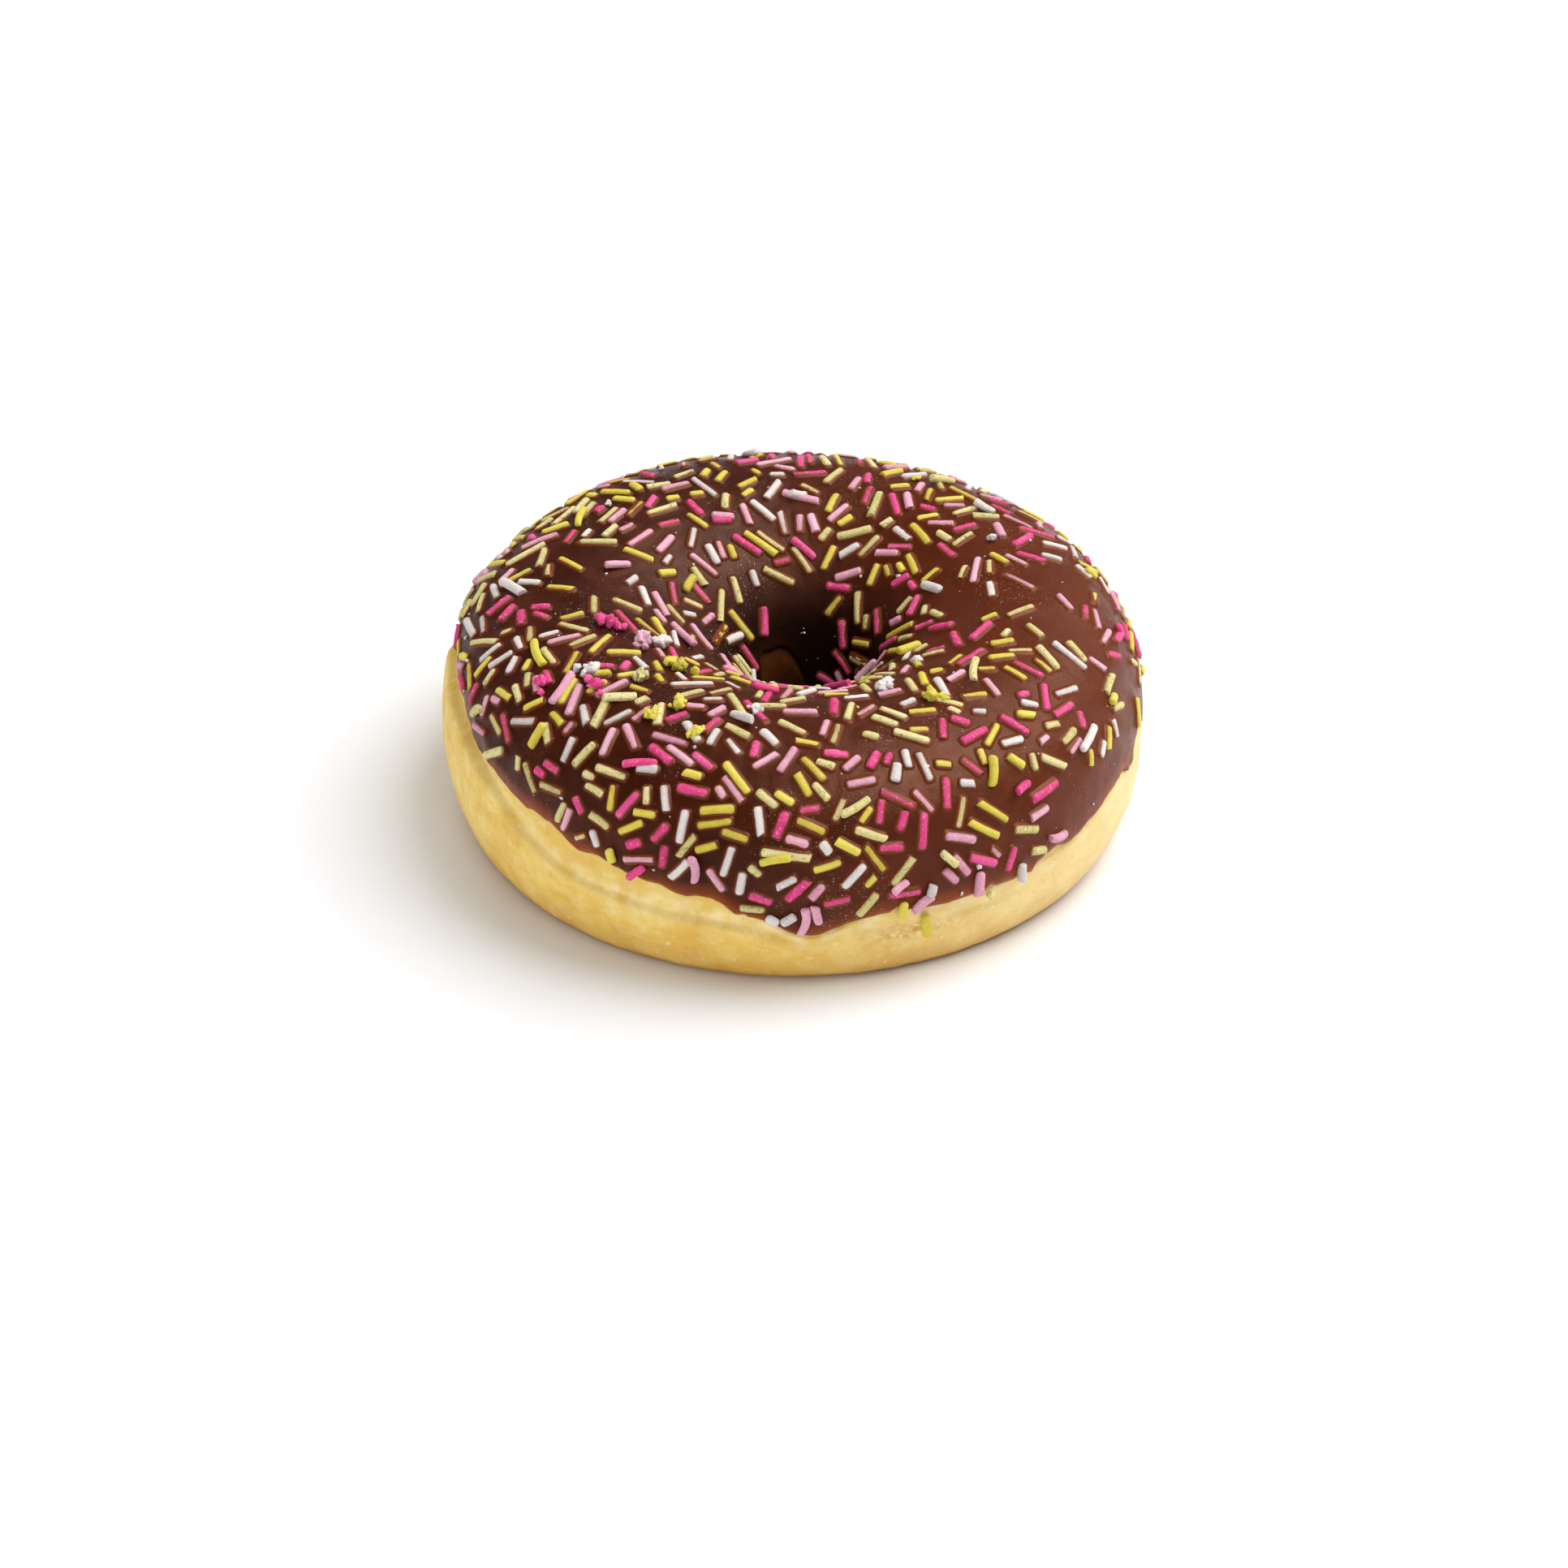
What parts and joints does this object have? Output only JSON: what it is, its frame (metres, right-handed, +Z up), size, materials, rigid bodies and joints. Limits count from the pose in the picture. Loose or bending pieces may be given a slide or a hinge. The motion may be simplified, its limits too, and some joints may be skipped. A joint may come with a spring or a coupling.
{
  "type": "sprinkle frosted doughnut",
  "caption": "Ring doughnut of pale golden fried dough under chocolate icing strewn with pink, yellow, pale green and white sugar sprinkles.",
  "frame": {"origin": "on the surface that the doughnut rests on, at the middle of its bounding box", "axes": "+Z up through the hole, -Y the side that faces the viewer in the picture, +X to the viewer's right"},
  "size_m": [0.0963, 0.096, 0.0348],
  "materials": {
    "fried_dough": "soft matte crust",
    "chocolate_icing": "satin",
    "hot_pink_sprinkle": "matte",
    "pale_pink_sprinkle": "matte",
    "yellow_sprinkle": "matte",
    "pale_green_sprinkle": "matte",
    "white_sprinkle": "matte"
  },
  "bodies": {
    "root": {"dough": "fried_dough", "icing": "chocolate_icing"}
  },
  "joints": []
}
